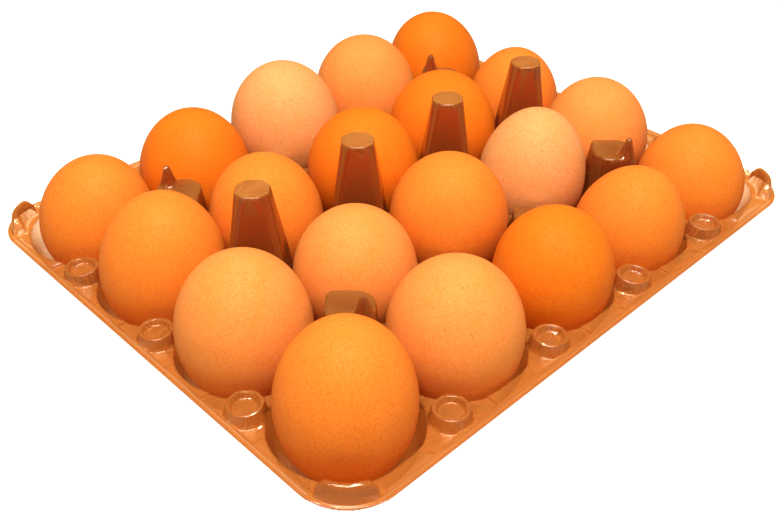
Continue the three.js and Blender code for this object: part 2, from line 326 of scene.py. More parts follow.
class EggTrayStage(PropertyGroup):
    """Floor, lights and camera."""

    floor: colour("Floor", "Colour of the floor in the light it throws back", "C0AC90")
    floor_glow: share("Floor glow", "How much the floor shines of itself, to the eye", 1.0)
    # Painted shadow: the amber that the floor shines with where it is seen through the tray.
    shade: colour("Shade", "The floor under the tray, lit through eggs and sheet", "A4642A")
    bounce: colour("Bounce", "Light that the floor gives to what stands on it", "201404")
    nap: length("Nap", "Size of the fine bumps that the roller leaves in the paint", 0.004)
    nap_height: length("Nap height", "Height of these bumps", 0.0001)
    nap_strength: share("Nap strength", "How much the bumps turn the light", 0.1)
    soft_light: FloatProperty(
        name="Soft light", description="Power of the large light overhead", default=15.5, unit="POWER"
    )
    glint_light: FloatProperty(
        name="Glint lights", description="Power of each small light for glints", default=12.0, unit="POWER"
    )
    sky: share("Sky", "How much soft light the surroundings give", 0.12)
    mirrored: colour("Mirrored room", "Colour of the surroundings where they mirror", "B8834E")
    camera_place: FloatVectorProperty(
        name="Camera place",
        description="Where the camera stands",
        default=(-0.2314, -0.2283, 0.2334),
        subtype="TRANSLATION",
        unit="LENGTH",
    )
    azimuth: FloatProperty(
        name="Azimuth",
        description="Direction that the camera looks from, round the object",
        default=math.radians(-44.62),
        subtype="ANGLE",
    )
    elevation: FloatProperty(
        name="Elevation",
        description="Height of the camera above the horizon",
        default=math.radians(36.44),
        subtype="ANGLE",
    )
    roll: FloatProperty(
        name="Roll", description="Turn of the picture", default=math.radians(0.39), subtype="ANGLE"
    )
    lens: FloatProperty(
        name="Lens", description="Focal length", default=43.87, subtype="DISTANCE_CAMERA"
    )


def meet(a, b, radius):
    """Field of what lies inside both, its outer edge rounded by a radius."""
    outside = np.hypot(np.maximum(a + radius, 0), np.maximum(b + radius, 0))
    return np.minimum(np.maximum(a, b), -radius) + outside


def join(a, b, radius):
    """Field of what lies inside either, the corner between them filled by a radius."""
    return -meet(-a, -b, radius)


def less(a, b, radius):
    """Field of a without b, its new edge rounded by a radius."""
    return meet(a, -b, radius)


def lean(draft):
    """How much shorter the way to a side with this draft is than the level way."""
    return 1 / math.hypot(1, draft)


def beside(u, v, start, end):
    """Distance to the right of the line from start to end."""
    du, dv = end[0] - start[0], end[1] - start[1]
    return ((u - start[0]) * dv - (v - start[1]) * du) / math.hypot(du, dv)


def cup(x, y, z, centre_x, centre_y):
    radius = np.hypot(x - centre_x, y - centre_y)
    floor_round, shoulder_round, rim_round = CUP_ROUNDS
    room = meet(CUP_FLOOR_EDGE[1] - z, beside(radius, z, CUP_FLOOR_EDGE, CUP_SHOULDER), floor_round)
    room = meet(room, beside(radius, z, CUP_SHOULDER, CUP_RIM), shoulder_round)
    return meet(room, radius - CUP_RIM[0], rim_round)


def cups(x, y, z):
    """The room for the eggs: the nearest cup and its two next neighbours."""
    column = np.clip(np.round(x / PITCH), 0, 2) * PITCH
    row = (np.clip(np.floor(y / PITCH), 0, 1) + 0.5) * PITCH
    beside_column = np.where(x > column, column + PITCH, column - PITCH)
    beside_row = np.where(y > row, row + PITCH, row - PITCH)
    far = PITCH
    room = -cup(x, y, z, column, row)
    next_column = np.where(beside_column <= OUTER_COLUMN, cup(x, y, z, beside_column, row), far)
    next_row = np.where(beside_row <= OUTER_ROW, cup(x, y, z, column, beside_row), far)
    ridges = meet(meet(room, -next_column, RIDGE_ROUND), -next_row, RIDGE_ROUND)
    return meet(-ridges, y - LEDGE, LEDGE_ROUND)


def post(u, v, z, form):
    """A frustum with eight sides, its broad ones looking at the eggs."""
    top, broad, side_x, side_y, draft, side_draft, upright_edge, top_edge = form
    broad_side = (np.abs(u) + np.abs(v)) / math.sqrt(2) - broad - draft * (top - z)
    x_side = np.abs(u) - side_x - side_draft * (top - z)
    y_side = np.abs(v) - side_y - side_draft * (top - z)
    body = meet(broad_side * lean(draft), x_side * lean(side_draft), upright_edge)
    return meet(meet(body, y_side * lean(side_draft), upright_edge), z - top, top_edge)


def pin(u, v, z):
    """A blunt pin with a flared foot, on the outward end of an outer post."""
    height = z - PIN_POST[0]
    radius = PIN_RADIUS + PIN_DRAFT * (PIN_HEIGHT - PIN_TIP_ROUND - height)
    radius = radius + PIN_FLARE * np.exp(-np.maximum(height, 0) / PIN_FLARE_HEIGHT)
    cone = PIN_LEAN * (np.hypot(u, v - PIN_OUTWARD) - radius)
    return meet(meet(cone, height - PIN_HEIGHT, PIN_TIP_ROUND), -height - PIN_SUNK, PIN_FOOT_ROUNDS[0])


def posts(x, y, z):
    u = x - np.where(x < PITCH, PITCH / 2, 1.5 * PITCH)
    v = y - np.where(y < PITCH / 2, 0, PITCH)
    outer = join(post(u, v, z, PIN_POST), pin(u, v, z), PIN_FOOT_ROUNDS[1])
    inner = np.where(x < PITCH, post(u, v, z, LOW_POST), outer)
    return np.where(y < PITCH / 2, post(u, v, z, TALL_POST), inner)


def outline(half_x, half_y, x, y, radius):
    """Distance outside a rectangle with rounded corners, round the middle of the tray."""
    u = x - half_x + radius
    v = y - half_y + radius
    return np.hypot(np.maximum(u, 0), np.maximum(v, 0)) + np.minimum(np.maximum(u, v), 0) - radius


def platforms(x, y, z, half_x, half_y, flange):
    """Pockets that lower the flange. They end on the middle lines of the outer cups."""
    along_long = np.abs(x - np.where(x < PITCH, PITCH / 2, 1.5 * PITCH)) - PLATFORM_HALF
    long_side = meet(along_long, y - half_y + STRIP_LONG_SIDE, PLATFORM_ROUND)
    first = y < PITCH / 2
    low = np.where(first, -PLATFORM_HALF, PITCH - PLATFORM_HALF)
    high = np.where(first, PLATFORM_HALF, PITCH + PLATFORM_HALF - PLATFORM_CORNER_TRIM)
    along_short = np.maximum(low - y, y - high)
    short_side = meet(along_short, x - half_x + STRIP_SHORT_SIDE, PLATFORM_ROUND)
    long_side = np.maximum(long_side, OUTER_ROW - y)
    short_side = np.maximum(short_side, OUTER_COLUMN - x)
    return meet(np.minimum(long_side, short_side), flange - PLATFORM_DROP - z, PLATFORM_ROUND)


def button(radius, z, top):
    side = lean(BUTTON_DRAFT) * (radius - BUTTON_RADIUS - BUTTON_DRAFT * (top - z))
    body = meet(side, z - top, BUTTON_TOP_ROUND)
    floor = top - DIMPLE_DEPTH
    wall = lean(DIMPLE_DRAFT) * (radius - DIMPLE_RADIUS - DIMPLE_DRAFT * (z - floor))
    return less(body, meet(wall, floor - z, DIMPLE_FLOOR_ROUND), DIMPLE_MOUTH_ROUND)


def buttons(x, y, z, half_x, half_y, top):
    along_x = x - np.where(x < PITCH, PITCH / 2, 1.5 * PITCH)
    along_y = y - np.where(y < PITCH / 2, 0, PITCH)
    long_side = button(np.hypot(along_x, y - half_y + BUTTON_INSET_LONG_SIDE), z, top)
    short_side = button(np.hypot(x - half_x + BUTTON_INSET_SHORT_SIDE, along_y), z, top)
    return np.minimum(long_side, short_side)


def corner_tab(x, y, z, half_x, half_y, top):
    u = x - half_x + TAB_INSET
    v = y - half_y + TAB_INSET
    radius = np.hypot(u, v)
    inner = lean(TAB_DRAFTS[0]) * (TAB_RADII[0] - TAB_DRAFTS[0] * (top - z) - radius)
    outer = lean(TAB_DRAFTS[1]) * (radius - TAB_RADII[1] - TAB_DRAFTS[1] * (top - z))
    turn = np.abs(np.arctan2(v, u) - math.pi / 4)
    ends = radius * (turn - TAB_HALF_ANGLE - TAB_ANGLE_DRAFT * (top - z))
    side_round, top_round = TAB_EDGE_ROUNDS
    return meet(meet(outer, inner, side_round), meet(ends, z - top, TAB_END_ROUND), top_round)


def rim_height(edge, flange):
    """Height of the flange's face, with the beads that run along the rim."""
    face = flange - FLANGE_SINK
    for inset, half, rise in RIM_BEADS:
        across = np.clip(np.abs(-edge - inset) / half, 0, 1)
        face = face + rise * (1 - across**2) ** 2
    return face


def upper_skin(half_x, half_y, flange):
    """The field whose zero surface is the upper face of the sheet, over one quarter of the tray."""

    def field(x, y, z):
        edge = outline(half_x, half_y, x, y, CORNER_RADIUS)
        solid = z - rim_height(edge, flange)
        solid = less(solid, platforms(x, y, z, half_x, half_y, flange), PLATFORM_ROUND)
        solid = join(solid, posts(x, y, z), POST_FOOT_ROUND)
        button_tops = buttons(x, y, z, half_x, half_y, flange + BUTTON_RISE)
        solid = join(solid, button_tops, BUTTON_FOOT_ROUND)
        solid = join(solid, corner_tab(x, y, z, half_x, half_y, flange + TAB_RISE), TAB_FOOT_ROUND)
        solid = less(solid, cups(x, y, z), CUP_MOUTH_ROUND)
        return meet(solid, edge, RIM_ROUND)

    return field


def ruled(stretches):
    """Grid lines from stretches of start, end and spacing."""
    lines = [np.linspace(a, b, max(round((b - a) / step), 1), endpoint=False) for a, b, step in stretches]
    return np.concatenate([*lines, [stretches[-1][1]]])


def surface_net(lines, field):
    """Corners and quads of a field's zero surface: one corner for each cell of the grid that it crosses."""
    value = field(*np.meshgrid(*lines, indexing="ij", sparse=True))
    cells = np.array(value.shape) - 1
    row = np.array([cells[1] * cells[2], cells[2], 1])
    owners, points, quads = [], [], []
    for axis in range(3):
        first = np.swapaxes(value, 0, axis)
        crossed = np.argwhere(np.swapaxes((first[:-1] < 0) != (first[1:] < 0), 0, axis))
        onward = crossed.copy()
        onward[:, axis] += 1
        start, end = value[tuple(crossed.T)], value[tuple(onward.T)]
        point = np.stack([lines[k][crossed[:, k]] for k in range(3)], 1)
        spacing = lines[axis][onward[:, axis]] - lines[axis][crossed[:, axis]]
        point[:, axis] += spacing * start / (start - end)
        one, other = [k for k in range(3) if k != axis]
        ring = []
        for back_one, back_other in ((1, 1), (0, 1), (0, 0), (1, 0)):
            cell = crossed.copy()
            cell[:, one] -= back_one
            cell[:, other] -= back_other
            real = ((cell >= 0) & (cell < cells)).all(1)
            owners.append(cell[real] @ row)
            points.append(point[real])
            ring.append(np.where(real, cell @ row, -1))
        ring = np.stack(ring, 1)
        turned = (start < 0) == (axis == 1)
        ring[turned] = ring[turned][:, ::-1]
        quads.append(ring[(ring >= 0).all(1)])
    names, place = np.unique(np.concatenate(owners), return_inverse=True)
    points = np.concatenate(points)
    sums = np.stack([np.bincount(place, points[:, k]) for k in range(3)], 1)
    corners = sums / np.bincount(place)[:, None]
    seam = np.stack([names // row[0] == 0, names // row[1] % cells[1] == 0], 1)
    return corners, np.searchsorted(names, np.concatenate(quads)), seam


def settle(corners, field, seam, rounds):
    """Moves corners onto the zero surface, and keeps those on the seams between quarters there."""
    nudge = 0.02
    farthest = 0.3
    gentlest = 0.2
    for _ in range(rounds):
        value = field(*corners.T)
        slopes = []
        for axis in range(3):
            step = np.zeros(3)
            step[axis] = nudge
            slopes.append((field(*(corners + step).T) - field(*(corners - step).T)) / (2 * nudge))
        slope = np.stack(slopes, 1)
        move = -slope * (value / np.maximum((slope**2).sum(1), gentlest))[:, None]
        size = np.linalg.norm(move, axis=1, keepdims=True)
        corners = corners + move * np.minimum(1, farthest / np.maximum(size, nudge * farthest))
        corners[:, :2][seam] = 0
    return corners


def mesh_of(corners, faces):
    mesh = bpy.data.meshes.new("skin")
    mesh.from_pydata((corners * MM).tolist(), [], faces.tolist())
    return mesh


def corners_of(mesh):
    flat = np.empty(3 * len(mesh.vertices))
    mesh.vertices.foreach_get("co", flat)
    return flat.reshape(-1, 3)


def evaluated(name, mesh, modifiers):
    """A mesh with modifiers applied, as a new mesh. Modifiers are kinds with their settings."""
    thing = bpy.data.objects.new(name, mesh)
    bpy.context.scene.collection.objects.link(thing)
    for kind, settings in modifiers:
        modifier = thing.modifiers.new(kind.lower(), kind)
        for key, value in settings.items():
            setattr(modifier, key, value)
    result = bpy.data.meshes.new_from_object(thing.evaluated_get(bpy.context.evaluated_depsgraph_get()))
    bpy.data.objects.remove(thing)
    return result


def mark_bends(mesh):
    """Stores how tightly the sheet bends at each corner, per millimetre."""
    shortest = 0.1
    normals = np.empty(3 * len(mesh.vertices))
    mesh.vertices.foreach_get("normal", normals)
    normals = normals.reshape(-1, 3)
    places = corners_of(mesh) / MM
    ends = np.empty(2 * len(mesh.edges), int)
    mesh.edges.foreach_get("vertices", ends)
    start, end = ends.reshape(-1, 2).T
    run = np.linalg.norm(places[start] - places[end], axis=1)
    turn = np.linalg.norm(normals[start] - normals[end], axis=1) / np.maximum(run, shortest)
    bend = np.zeros(len(mesh.vertices))
    np.maximum.at(bend, start, turn)
    np.maximum.at(bend, end, turn)
    mesh.attributes.new("bend", "FLOAT", "POINT").data.foreach_set("value", bend)


def quarter_skin(sheet, half_x, half_y, top):
    """The upper face of the sheet over +X and +Y, with its lip but without the side below it."""
    step = sheet.mesh_step / MM
    flange = sheet.flange / MM
    field = upper_skin(half_x, half_y, flange)
    first = (-step / 2, step / 2, step)
    lines = []
    for half in (half_x, half_y):
        band = half - FINE_BAND
        lines.append(ruled([first, (step / 2, band, step), (band, half + 2 * FINE_STEP, FINE_STEP)]))
    low, high = FINE_LEVELS
    low_levels = [(-MARGIN, low, WALL_STEPS[0]), (low, high, FINE_STEP)]
    high_levels = [(high, top - FINE_TOP, WALL_STEPS[1]), (top - FINE_TOP, top + MARGIN, FINE_STEP)]
    lines.append(ruled(low_levels + high_levels))
    corners, quads, seam = surface_net(lines, field)
    corners = settle(corners, field, seam, 3)
    beyond = outline(half_x, half_y, corners[:, 0], corners[:, 1], CORNER_RADIUS)[quads].max(1)
    below = corners[quads][:, :, 2].min(1) < flange - LIP_DEPTH
    quads = quads[~((beyond > -LIP_BAND) & below)]
    used, quads = np.unique(quads, return_inverse=True)
    corners, quads = corners[used], quads.reshape(-1, 4)
    ratio = sheet.faces / (2 * len(quads))
    skin = mesh_of(corners, quads)
    decimate = {"ratio": ratio, "use_collapse_triangulate": True}
    skin = evaluated("skin", skin, [("DECIMATE", decimate)])
    corners = corners_of(skin) / MM
    seam = np.abs(corners[:, :2]) < step / 4
    corners[:, :2][seam] = 0
    edge = outline(half_x, half_y, corners[:, 0], corners[:, 1], CORNER_RADIUS)
    free = (edge < -LIP_BAND) | (corners[:, 2] > flange - LIP_DEPTH / 2)
    corners[free] = settle(corners[free], field, seam[free], 2)
    corners = np.minimum(corners, (half_x, half_y, top))
    skin.vertices.foreach_set("co", (corners * MM).ravel())
    return skin


def add(tree, kind, inputs=None, **settings):
    """Adds a node. Inputs are values or other nodes' outputs, by name or number. Numbers tell inputs
    of one name apart: 1 to 4 are a map range's limits, 0, 6 and 7 a colour mix's factor and colours."""
    node = tree.nodes.new(kind)
    for key, value in settings.items():
        setattr(node, key, value)
    for key, value in (inputs or {}).items():
        if isinstance(value, bpy.types.NodeSocket):
            tree.links.new(value, node.inputs[key])
        else:
            node.inputs[key].default_value = value
    return node


def material(name):
    """A new material with only its output node, and its tree."""
    made = bpy.data.materials.new(name)
    made.use_nodes = True
    made.node_tree.nodes.clear()
    return made, made.node_tree


def rim_distance(tree, place):
    """Distance outside the tray's rim of a place in the XY plane, negative inside."""
    part = add(tree, "ShaderNodeSeparateXYZ", {0: place}).outputs
    gaps = []
    for axis, half in (("X", CAD_BOX[1][0]), ("Y", CAD_BOX[1][1])):
        away = add(tree, "ShaderNodeMath", {0: part[axis]}, operation="ABSOLUTE").outputs[0]
        gaps.append(add(tree, "ShaderNodeMath", {0: away, 1: half}, operation="SUBTRACT").outputs[0])
    return add(tree, "ShaderNodeMath", {0: gaps[0], 1: gaps[1]}, operation="MAXIMUM").outputs[0]


def clear_pet(sheet):
    """Clear PET sheet, thermoformed: glassy on both faces, with a faint haze and slow waves where it
    cooled on the mould. The deeper amber tint inside the rim is a painted reflection of the eggs' colour.
    Tint and haze deepen where the sheet is seen edge-on and where it bends tightly; at the bends the
    darker tint is painted shade, brown lines in place of the light that a real bend refracts away."""
    made, tree = material("Clear PET sheet, thermoformed")
    place = add(tree, "ShaderNodeTexCoord").outputs["Object"]
    wave = {"Vector": place, "Scale": 1 / sheet.wave_size, "Detail": 2.0}
    wave = add(tree, "ShaderNodeTexNoise", wave).outputs[0]
    bump = {"Height": wave, "Strength": sheet.wave_strength, "Distance": sheet.wave_height}
    bump = add(tree, "ShaderNodeBump", bump).outputs[0]
    slant = add(tree, "ShaderNodeLayerWeight").outputs["Facing"]
    edge_on_and_bend_shade = add(tree, "ShaderNodeMath", {0: slant, 1: sheet.edge_falloff}, operation="POWER").outputs[0]
    # Painted shade: tight bends darken the tint into brown lines, in place of the light that a real bend
    # refracts away.
    bend = add(tree, "ShaderNodeAttribute", attribute_name="bend").outputs["Fac"]
    bend_range = {"Value": bend, 1: BEND_SHADE_RANGE[0], 2: BEND_SHADE_RANGE[1], 4: sheet.bend_share}
    bend = add(tree, "ShaderNodeMapRange", bend_range).outputs[0]
    edge_on_and_bend_shade = add(tree, "ShaderNodeMath", {0: edge_on_and_bend_shade, 1: bend}, operation="ADD").outputs[0]
    # Painted reflection of the eggs: the tints turn amber from the rim inwards.
    painted_egg_share = {"Value": rim_distance(tree, place), 1: -EGG_REFLECTION_FROM, 2: -EGG_REFLECTION_FULL}
    painted_egg_share = add(tree, "ShaderNodeMapRange", painted_egg_share).outputs[0]
    flat = {0: painted_egg_share, 6: (*sheet.tint, 1), 7: (*sheet.inner_tint, 1)}
    flat = add(tree, "ShaderNodeMix", flat, data_type="RGBA").outputs[2]
    edges = {0: painted_egg_share, 6: (*sheet.edge_tint, 1), 7: (*sheet.inner_edge_tint, 1)}
    edges = add(tree, "ShaderNodeMix", edges, data_type="RGBA").outputs[2]
    tints = {0: edge_on_and_bend_shade, 6: flat, 7: edges}
    tint = add(tree, "ShaderNodeMix", tints, data_type="RGBA").outputs[2]
    clear = add(tree, "ShaderNodeBsdfTransparent", {"Color": tint}).outputs[0]
    lit = add(tree, "ShaderNodeBsdfDiffuse", {"Color": (*sheet.haze, 1), "Normal": bump}).outputs[0]
    glow = add(tree, "ShaderNodeBsdfTranslucent", {"Color": (*sheet.haze, 1), "Normal": bump}).outputs[0]
    haze = add(tree, "ShaderNodeMixShader", {0: sheet.through_share, 1: lit, 2: glow}).outputs[0]
    amounts = {"Value": edge_on_and_bend_shade, 3: sheet.haze_share, 4: sheet.edge_haze_share}
    amount = add(tree, "ShaderNodeMapRange", amounts).outputs[0]
    height = add(tree, "ShaderNodeSeparateXYZ", {0: place}).outputs["Z"]
    tops_from = CAD_BOX[1][2] - TOPS_BELOW
    high = {"Value": height, 1: tops_from, 2: tops_from + TOPS_FADE}
    high = add(tree, "ShaderNodeMapRange", high).outputs[0]
    surface = add(tree, "ShaderNodeNewGeometry").outputs
    level = add(tree, "ShaderNodeSeparateXYZ", {0: surface["Normal"]}).outputs["Z"]
    level = {"Value": level, 1: LEVEL[0], 2: LEVEL[1], 4: sheet.top_haze_share}
    level = add(tree, "ShaderNodeMapRange", level).outputs[0]
    tops = add(tree, "ShaderNodeMath", {0: high, 1: level}, operation="MULTIPLY").outputs[0]
    amount = add(tree, "ShaderNodeMath", {0: amount, 1: tops}, operation="ADD").outputs[0]
    body = add(tree, "ShaderNodeMixShader", {0: amount, 1: clear, 2: haze}).outputs[0]
    gloss = {"Color": (*sheet.gloss, 1), "Roughness": sheet.roughness, "Normal": bump}
    gloss = add(tree, "ShaderNodeBsdfGlossy", gloss).outputs[0]
    # The Fresnel node turns its index over on a back face, as for light that leaves a solid. Here the
    # light goes straight through, so the index is turned back, or the far face would mirror it all.
    index = {"Value": surface["Backfacing"], 3: sheet.mirror_ior, 4: 1 / sheet.mirror_ior}
    index = add(tree, "ShaderNodeMapRange", index).outputs[0]
    mirror = add(tree, "ShaderNodeFresnel", {"IOR": index, "Normal": bump}).outputs[0]
    whole = add(tree, "ShaderNodeMixShader", {0: mirror, 1: body, 2: gloss}).outputs[0]
    add(tree, "ShaderNodeOutputMaterial", {"Surface": whole})
    return made


def kept(shade, shares):
    """What a colour's red, green and blue are when only these shares of them are left."""
    return tuple(part * left for part, left in zip(shade, shares))


def eggshell(name, shade, shells):
    """Brown eggshell, grown and unwashed: a matt chalky skin with soft clouds of pigment, pits a
    little under a millimetre apart and fine darker spots, more of them on some eggs. The chalky grain
    is drawn coarser than the real one, so that it shows. Towards its foot the shell is darker, as painted
    shade."""
    made, tree = material(f"Brown eggshell, {name}")
    place = add(tree, "ShaderNodeTexCoord").outputs["Object"]
    cloud = {"Vector": place, "Scale": 1 / shells.blotch_size, "Detail": 3.0, "Roughness": 0.6}
    cloud = add(tree, "ShaderNodeTexNoise", cloud).outputs[0]
    cloud = {"Value": cloud, 1: CLOUD_RANGE[0], 2: CLOUD_RANGE[1]}
    cloud = add(tree, "ShaderNodeMapRange", cloud).outputs[0]
    skin = {0: cloud, 6: (*kept(shade, CLOUD_SHARES), 1), 7: (*shade, 1)}
    skin = add(tree, "ShaderNodeMix", skin, data_type="RGBA").outputs[2]
    # Painted shade: the colour darkens and turns deeper orange towards the egg's foot.
    foot_shade = add(tree, "ShaderNodeAttribute", attribute_name="along").outputs["Fac"]
    foot_shade = {"Value": foot_shade, 1: FOOT_SHADE_RANGE[0], 2: FOOT_SHADE_RANGE[1]}
    foot_shade = add(tree, "ShaderNodeMapRange", foot_shade).outputs[0]
    skin = {0: foot_shade, 6: skin, 7: (*kept(shade, FOOT_PAINTED_SHADE), 1)}
    skin = add(tree, "ShaderNodeMix", skin, data_type="RGBA").outputs[2]
    pit = {"Vector": place, "Scale": 1 / shells.pore_spacing}
    pit = add(tree, "ShaderNodeTexVoronoi", pit).outputs["Distance"]
    spot = {"Vector": place, "Scale": 1 / shells.speckle_spacing}
    spot = add(tree, "ShaderNodeTexVoronoi", spot).outputs
    near = {"Value": spot["Distance"], 1: SPOT_RANGE[0], 2: SPOT_RANGE[1], 3: SPOT_COVER, 4: 0.0}
    near = add(tree, "ShaderNodeMapRange", near).outputs[0]
    lot = add(tree, "ShaderNodeSeparateColor", {0: spot["Color"]}).outputs[0]
    amount = add(tree, "ShaderNodeAttribute", attribute_name="speckling").outputs["Fac"]
    chosen = add(tree, "ShaderNodeMath", {0: lot, 1: amount}, operation="LESS_THAN").outputs[0]
    spots = add(tree, "ShaderNodeMath", {0: near, 1: chosen}, operation="MULTIPLY").outputs[0]
    skin = {0: spots, 6: skin, 7: (*shells.speckle, 1)}
    skin = add(tree, "ShaderNodeMix", skin, data_type="RGBA").outputs[2]
    grain = {"Vector": place, "Scale": 1 / shells.grain, "Detail": 2.0}
    grain = add(tree, "ShaderNodeTexNoise", grain).outputs[0]
    dust = {"Value": grain, 1: DUST_RANGE[0], 2: DUST_RANGE[1], 4: DUST_COVER}
    dust = add(tree, "ShaderNodeMapRange", dust).outputs[0]
    skin = {0: dust, 6: skin, 7: (*DUST_SHARES, 1)}
    skin = add(tree, "ShaderNodeMix", skin, data_type="RGBA", blend_type="MULTIPLY").outputs[2]
    relief = add(tree, "ShaderNodeMath", {0: grain, 1: pit}, operation="ADD").outputs[0]
    bump = {"Height": relief, "Strength": shells.relief_strength, "Distance": shells.relief}
    bump = add(tree, "ShaderNodeBump", bump).outputs[0]
    smoothest = shells.roughness - ROUGHNESS_WANDER
    roughest = shells.roughness + ROUGHNESS_WANDER
    rough = {"Value": grain, 1: CLOUD_RANGE[0], 2: CLOUD_RANGE[1], 3: smoothest, 4: roughest}
    rough = add(tree, "ShaderNodeMapRange", rough).outputs[0]
    shell = {
        "Base Color": skin,
        "Roughness": rough,
        "IOR": 1.5,
        "Specular IOR Level": shells.gloss_level,
        "Specular Tint": (*shells.gloss_tint, 1),
        "Subsurface Weight": shells.glow,
        "Subsurface Radius": (1.0, 0.35, 0.08),
        "Subsurface Scale": shells.glow_depth,
        "Normal": bump,
    }
    shell = add(tree, "ShaderNodeBsdfPrincipled", shell).outputs[0]
    add(tree, "ShaderNodeOutputMaterial", {"Surface": shell})
    return made


def matt_floor(stage):
    """Matt painted board, rolled: no gloss and a fine nap. It shines of itself, so it is white to the
    eye; where it is seen through the tray inside the rim it shines amber instead, a painted shadow of
    eggs and sheet. Its own colour is a dimmer warm one, so that it throws little light back at the eggs."""
    made, tree = material("Matt white board, painted")
    place = add(tree, "ShaderNodeTexCoord").outputs["Object"]
    nap = {"Vector": place, "Scale": 1 / stage.nap, "Detail": 2.0}
    nap = add(tree, "ShaderNodeTexNoise", nap).outputs[0]
    bump = {"Height": nap, "Strength": stage.nap_strength, "Distance": stage.nap_height}
    bump = add(tree, "ShaderNodeBump", bump).outputs[0]
    # Painted shadow: seen through the sheet inside the rim, the floor shines amber in place of white.
    outside = rim_distance(tree, place)
    outside = {"Value": outside, 1: -SHADE_INSET - SHADE_FADE, 2: -SHADE_INSET}
    outside = add(tree, "ShaderNodeMapRange", outside).outputs[0]
    ray = add(tree, "ShaderNodeLightPath").outputs
    bare = {0: ray["Transparent Depth"], 1: 0.5}
    bare = add(tree, "ShaderNodeMath", bare, operation="LESS_THAN").outputs[0]
    open_floor = add(tree, "ShaderNodeMath", {0: outside, 1: bare}, operation="MAXIMUM").outputs[0]
    white = (stage.floor_glow, stage.floor_glow, stage.floor_glow, 1)
    to_eye = {0: open_floor, 6: (*stage.shade, 1), 7: white}
    to_eye = add(tree, "ShaderNodeMix", to_eye, data_type="RGBA").outputs[2]
    glow = {0: ray["Is Camera Ray"], 6: (*stage.bounce, 1), 7: to_eye}
    glow = add(tree, "ShaderNodeMix", glow, data_type="RGBA").outputs[2]
    board = {
        "Base Color": (*stage.floor, 1),
        "Roughness": 0.9,
        "Emission Color": glow,
        "Emission Strength": 1.0,
        "Normal": bump,
    }
    board = add(tree, "ShaderNodeBsdfPrincipled", board).outputs[0]
    add(tree, "ShaderNodeOutputMaterial", {"Surface": board})
    return made


def smooth(mesh):
    for face in mesh.polygons:
        face.use_smooth = True


def finish_piece(piece, node):
    smooth(piece.data)
    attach(piece, "root")
    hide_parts(node)


class EGGTRAY_OT_form_sheet(Operator):
    """Form the tray: one clear sheet with its cups, posts, buttons, platforms, beads and corner ribs"""

    bl_idname = "egg_tray.form_sheet"
    bl_label = "Form the tray"

    def execute(self, context):
        sheet = context.scene.egg_tray_sheet
        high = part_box("tray")[1]
        skin = quarter_skin(sheet, high.x / MM, high.y / MM, high.z / MM)
        smooth(skin)
        mirror = {"use_axis": (True, True, False), "merge_threshold": 0.00002}
        wall = {"thickness": sheet.thickness, "offset": -1}
        crisp = {"mode": "FACE_AREA", "weight": 50}
        steps = [("MIRROR", mirror), ("SOLIDIFY", wall), ("WEIGHTED_NORMAL", crisp)]
        whole = evaluated("tray", skin, steps)
        mark_bends(whole)
        tray = bpy.data.objects.new("clear_tray", whole)
        context.scene.collection.objects.link(tray)
        whole.materials.append(clear_pet(sheet))
        finish_piece(tray, "tray")
        return {"FINISHED"}


def egg_tree():
    """An egg as nodes: a ball stretched to its radius and half length, swollen towards one end,
    made slightly uneven, then leaned and put in its place."""
    tree = bpy.data.node_groups.new("Hen's egg", "GeometryNodeTree")
    face = tree.interface
    kinds = {
        "Radius": "NodeSocketFloat",
        "Half length": "NodeSocketFloat",
        "Point": "NodeSocketFloat",
        "Lean": "NodeSocketRotation",
        "Place": "NodeSocketVector",
        "Unevenness": "NodeSocketFloat",
        "Speckling": "NodeSocketFloat",
        "Seed": "NodeSocketFloat",
        "Shell": "NodeSocketMaterial",
    }
    for name, kind in kinds.items():
        face.new_socket(name=name, in_out="INPUT", socket_type=kind)
    face.new_socket(name="Geometry", in_out="OUTPUT", socket_type="NodeSocketGeometry")
    given = tree.nodes.new("NodeGroupInput").outputs
    ball = {"Segments": EGG_SIDES, "Rings": EGG_RINGS, "Radius": 1.0}
    ball = add(tree, "GeometryNodeMeshUVSphere", ball).outputs["Mesh"]
    place = add(tree, "GeometryNodeInputPosition").outputs[0]
    part = add(tree, "ShaderNodeSeparateXYZ", {0: place}).outputs
    wide = add(tree, "ShaderNodeMath", {0: given["Point"], 1: part["Z"]}, operation="MULTIPLY").outputs[0]
    wide = add(tree, "ShaderNodeMath", {0: 1.0, 1: wide}, operation="SUBTRACT").outputs[0]
    wide = add(tree, "ShaderNodeMath", {0: wide, 1: given["Radius"]}, operation="MULTIPLY").outputs[0]
    scale = add(tree, "ShaderNodeCombineXYZ", {"X": wide, "Y": wide, "Z": given["Half length"]}).outputs[0]
    form = add(tree, "ShaderNodeVectorMath", {0: place, 1: scale}, operation="MULTIPLY").outputs[0]
    lump = {"Vector": place, "W": given["Seed"], "Scale": LUMPS_PER_RADIUS, "Detail": 1.0}
    lump = add(tree, "ShaderNodeTexNoise", lump, noise_dimensions="4D").outputs[0]
    lump = add(tree, "ShaderNodeMath", {0: lump, 1: -1.0}, operation="ADD").outputs[0]
    lump = add(tree, "ShaderNodeMath", {0: lump, 1: given["Unevenness"]}, operation="MULTIPLY").outputs[0]
    lump = add(tree, "ShaderNodeVectorMath", {0: place, "Scale": lump}, operation="SCALE").outputs[0]
    egg = {"Geometry": ball, "Position": form, "Offset": lump}
    egg = add(tree, "GeometryNodeSetPosition", egg).outputs[0]
    for name, value in (("speckling", given["Speckling"]), ("along", part["Z"])):
        stored = {"Geometry": egg, "Name": name, "Value": value}
        egg = add(tree, "GeometryNodeStoreNamedAttribute", stored, data_type="FLOAT").outputs[0]
    stand = {"Geometry": egg, "Translation": given["Place"], "Rotation": given["Lean"]}
    egg = add(tree, "GeometryNodeTransform", stand).outputs[0]
    egg = add(tree, "GeometryNodeRealizeInstances", {"Geometry": egg}).outputs[0]
    egg = add(tree, "GeometryNodeSetMaterial", {"Geometry": egg, "Material": given["Shell"]}).outputs[0]
    add(tree, "NodeGroupOutput", {"Geometry": egg})
    return tree


